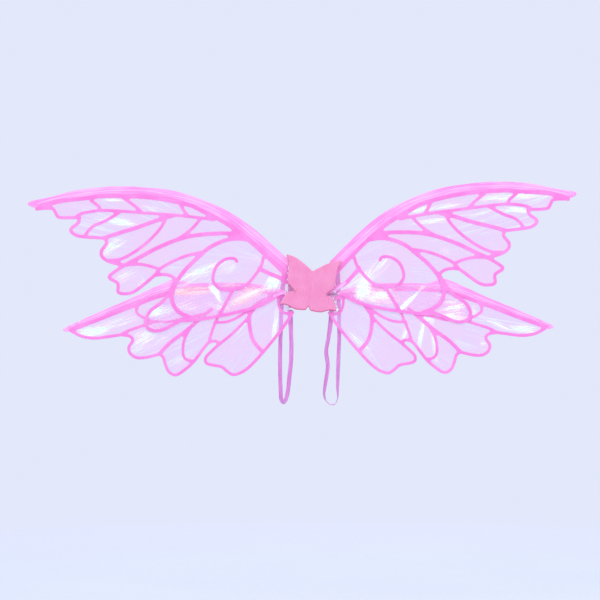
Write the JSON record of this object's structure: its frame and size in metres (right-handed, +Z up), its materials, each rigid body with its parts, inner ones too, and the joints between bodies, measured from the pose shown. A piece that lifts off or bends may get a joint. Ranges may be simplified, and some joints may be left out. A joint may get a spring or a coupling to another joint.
{
  "type": "fairy wings",
  "caption": "Costume fairy wings: translucent film wings with pink veins and wire-stiffened leading edges on a butterfly hub, worn on the back with elastic arm loops.",
  "frame": {"origin": "centre of the back pad's rear face, which rests between the wearer's shoulder blades", "axes": "+Y out of the back pad towards the wearer, +Z up as worn, +X along the span to the right as seen from behind the wearer"},
  "size_m": [1.098, 0.0313, 0.4461],
  "materials": {
    "cover_foam": "ribbed matt fabric over foam",
    "core_foam": "matt",
    "pad_fabric": "brushed knit",
    "glue": "dried, slightly glossy",
    "stiff_board": "matt sheet",
    "tab_fabric": "woven",
    "tie_fabric": "satin",
    "rivet_metal": "turned",
    "cap_plastic": "smooth",
    "spring_wire": "drawn",
    "film": "iridescent, glossy, crinkled",
    "vein_fabric": "satin",
    "sleeve_fabric": "satin",
    "elastic": "woven elastic"
  },
  "bodies": {
    "hub": {"cover": "cover_foam", "core": "core_foam", "back_plate": "stiff_board", "back_pad": "pad_fabric", "glue_dabs": "glue", "upper_left_strap_tab": "tab_fabric", "upper_right_strap_tab": "tab_fabric", "lower_left_strap_tab": "tab_fabric", "lower_right_strap_tab": "tab_fabric", "left_root_tape": "tie_fabric", "right_root_tape": "tie_fabric"},
    "left_root": {"left_yoke": "stiff_board", "upper_left_rivet": "rivet_metal", "lower_left_rivet": "rivet_metal"},
    "right_root": {"right_yoke": "stiff_board", "upper_right_rivet": "rivet_metal", "lower_right_rivet": "rivet_metal"},
    "upper_left_wing": {"upper_left_root_plate": "stiff_board", "upper_left_film": "film", "upper_left_veins": "vein_fabric", "upper_left_sleeve": "sleeve_fabric", "upper_left_spar": "spring_wire", "upper_left_spar_cap": "cap_plastic", "upper_left_root_tie": "tie_fabric"},
    "lower_left_wing": {"lower_left_root_plate": "stiff_board", "lower_left_film": "film", "lower_left_veins": "vein_fabric", "lower_left_sleeve": "sleeve_fabric", "lower_left_spar": "spring_wire", "lower_left_spar_cap": "cap_plastic"},
    "upper_right_wing": {"upper_right_root_plate": "stiff_board", "upper_right_film": "film", "upper_right_veins": "vein_fabric", "upper_right_sleeve": "sleeve_fabric", "upper_right_spar": "spring_wire", "upper_right_spar_cap": "cap_plastic", "upper_right_root_tie": "tie_fabric"},
    "lower_right_wing": {"lower_right_root_plate": "stiff_board", "lower_right_film": "film", "lower_right_veins": "vein_fabric", "lower_right_sleeve": "sleeve_fabric", "lower_right_spar": "spring_wire", "lower_right_spar_cap": "cap_plastic"},
    "left_arm_loop": {"left_strap": "elastic"},
    "right_arm_loop": {"right_strap": "elastic"}
  },
  "joints": [
    {"name": "left_flap", "type": "hinge", "parent": "hub", "child": "left_root", "pos_m": [-0.0262, -0.0078, 0], "axis": [0, 0, 1], "range_deg": [-2, 12]},
    {"name": "right_flap", "type": "hinge", "parent": "hub", "child": "right_root", "pos_m": [0.0262, -0.0078, 0], "axis": [0, 0, -1], "range_deg": [-2, 12]},
    {"name": "upper_left_swivel", "type": "hinge", "parent": "left_root", "child": "upper_left_wing", "pos_m": [-0.037, -0.0154, 0.024], "axis": [0, 1, 0], "range_deg": [-30, 10]},
    {"name": "lower_left_swivel", "type": "hinge", "parent": "left_root", "child": "lower_left_wing", "pos_m": [-0.036, -0.0114, -0.024], "axis": [0, 1, 0], "range_deg": [-20, 8]},
    {"name": "upper_right_swivel", "type": "hinge", "parent": "right_root", "child": "upper_right_wing", "pos_m": [0.033, -0.0154, 0.022], "axis": [0, -1, 0], "range_deg": [-30, 10]},
    {"name": "lower_right_swivel", "type": "hinge", "parent": "right_root", "child": "lower_right_wing", "pos_m": [0.036, -0.0114, -0.026], "axis": [0, -1, 0], "range_deg": [-20, 8]},
    {"name": "left_arm_loop_swing", "type": "hinge", "parent": "hub", "child": "left_arm_loop", "pos_m": [-0.052, -0.0022, 0.034], "axis": [0.1182, 0, -0.993], "range_deg": [0, 100]},
    {"name": "right_arm_loop_swing", "type": "hinge", "parent": "hub", "child": "right_arm_loop", "pos_m": [0.052, -0.0022, 0.034], "axis": [0.1182, 0, 0.993], "range_deg": [0, 100]}
  ]
}
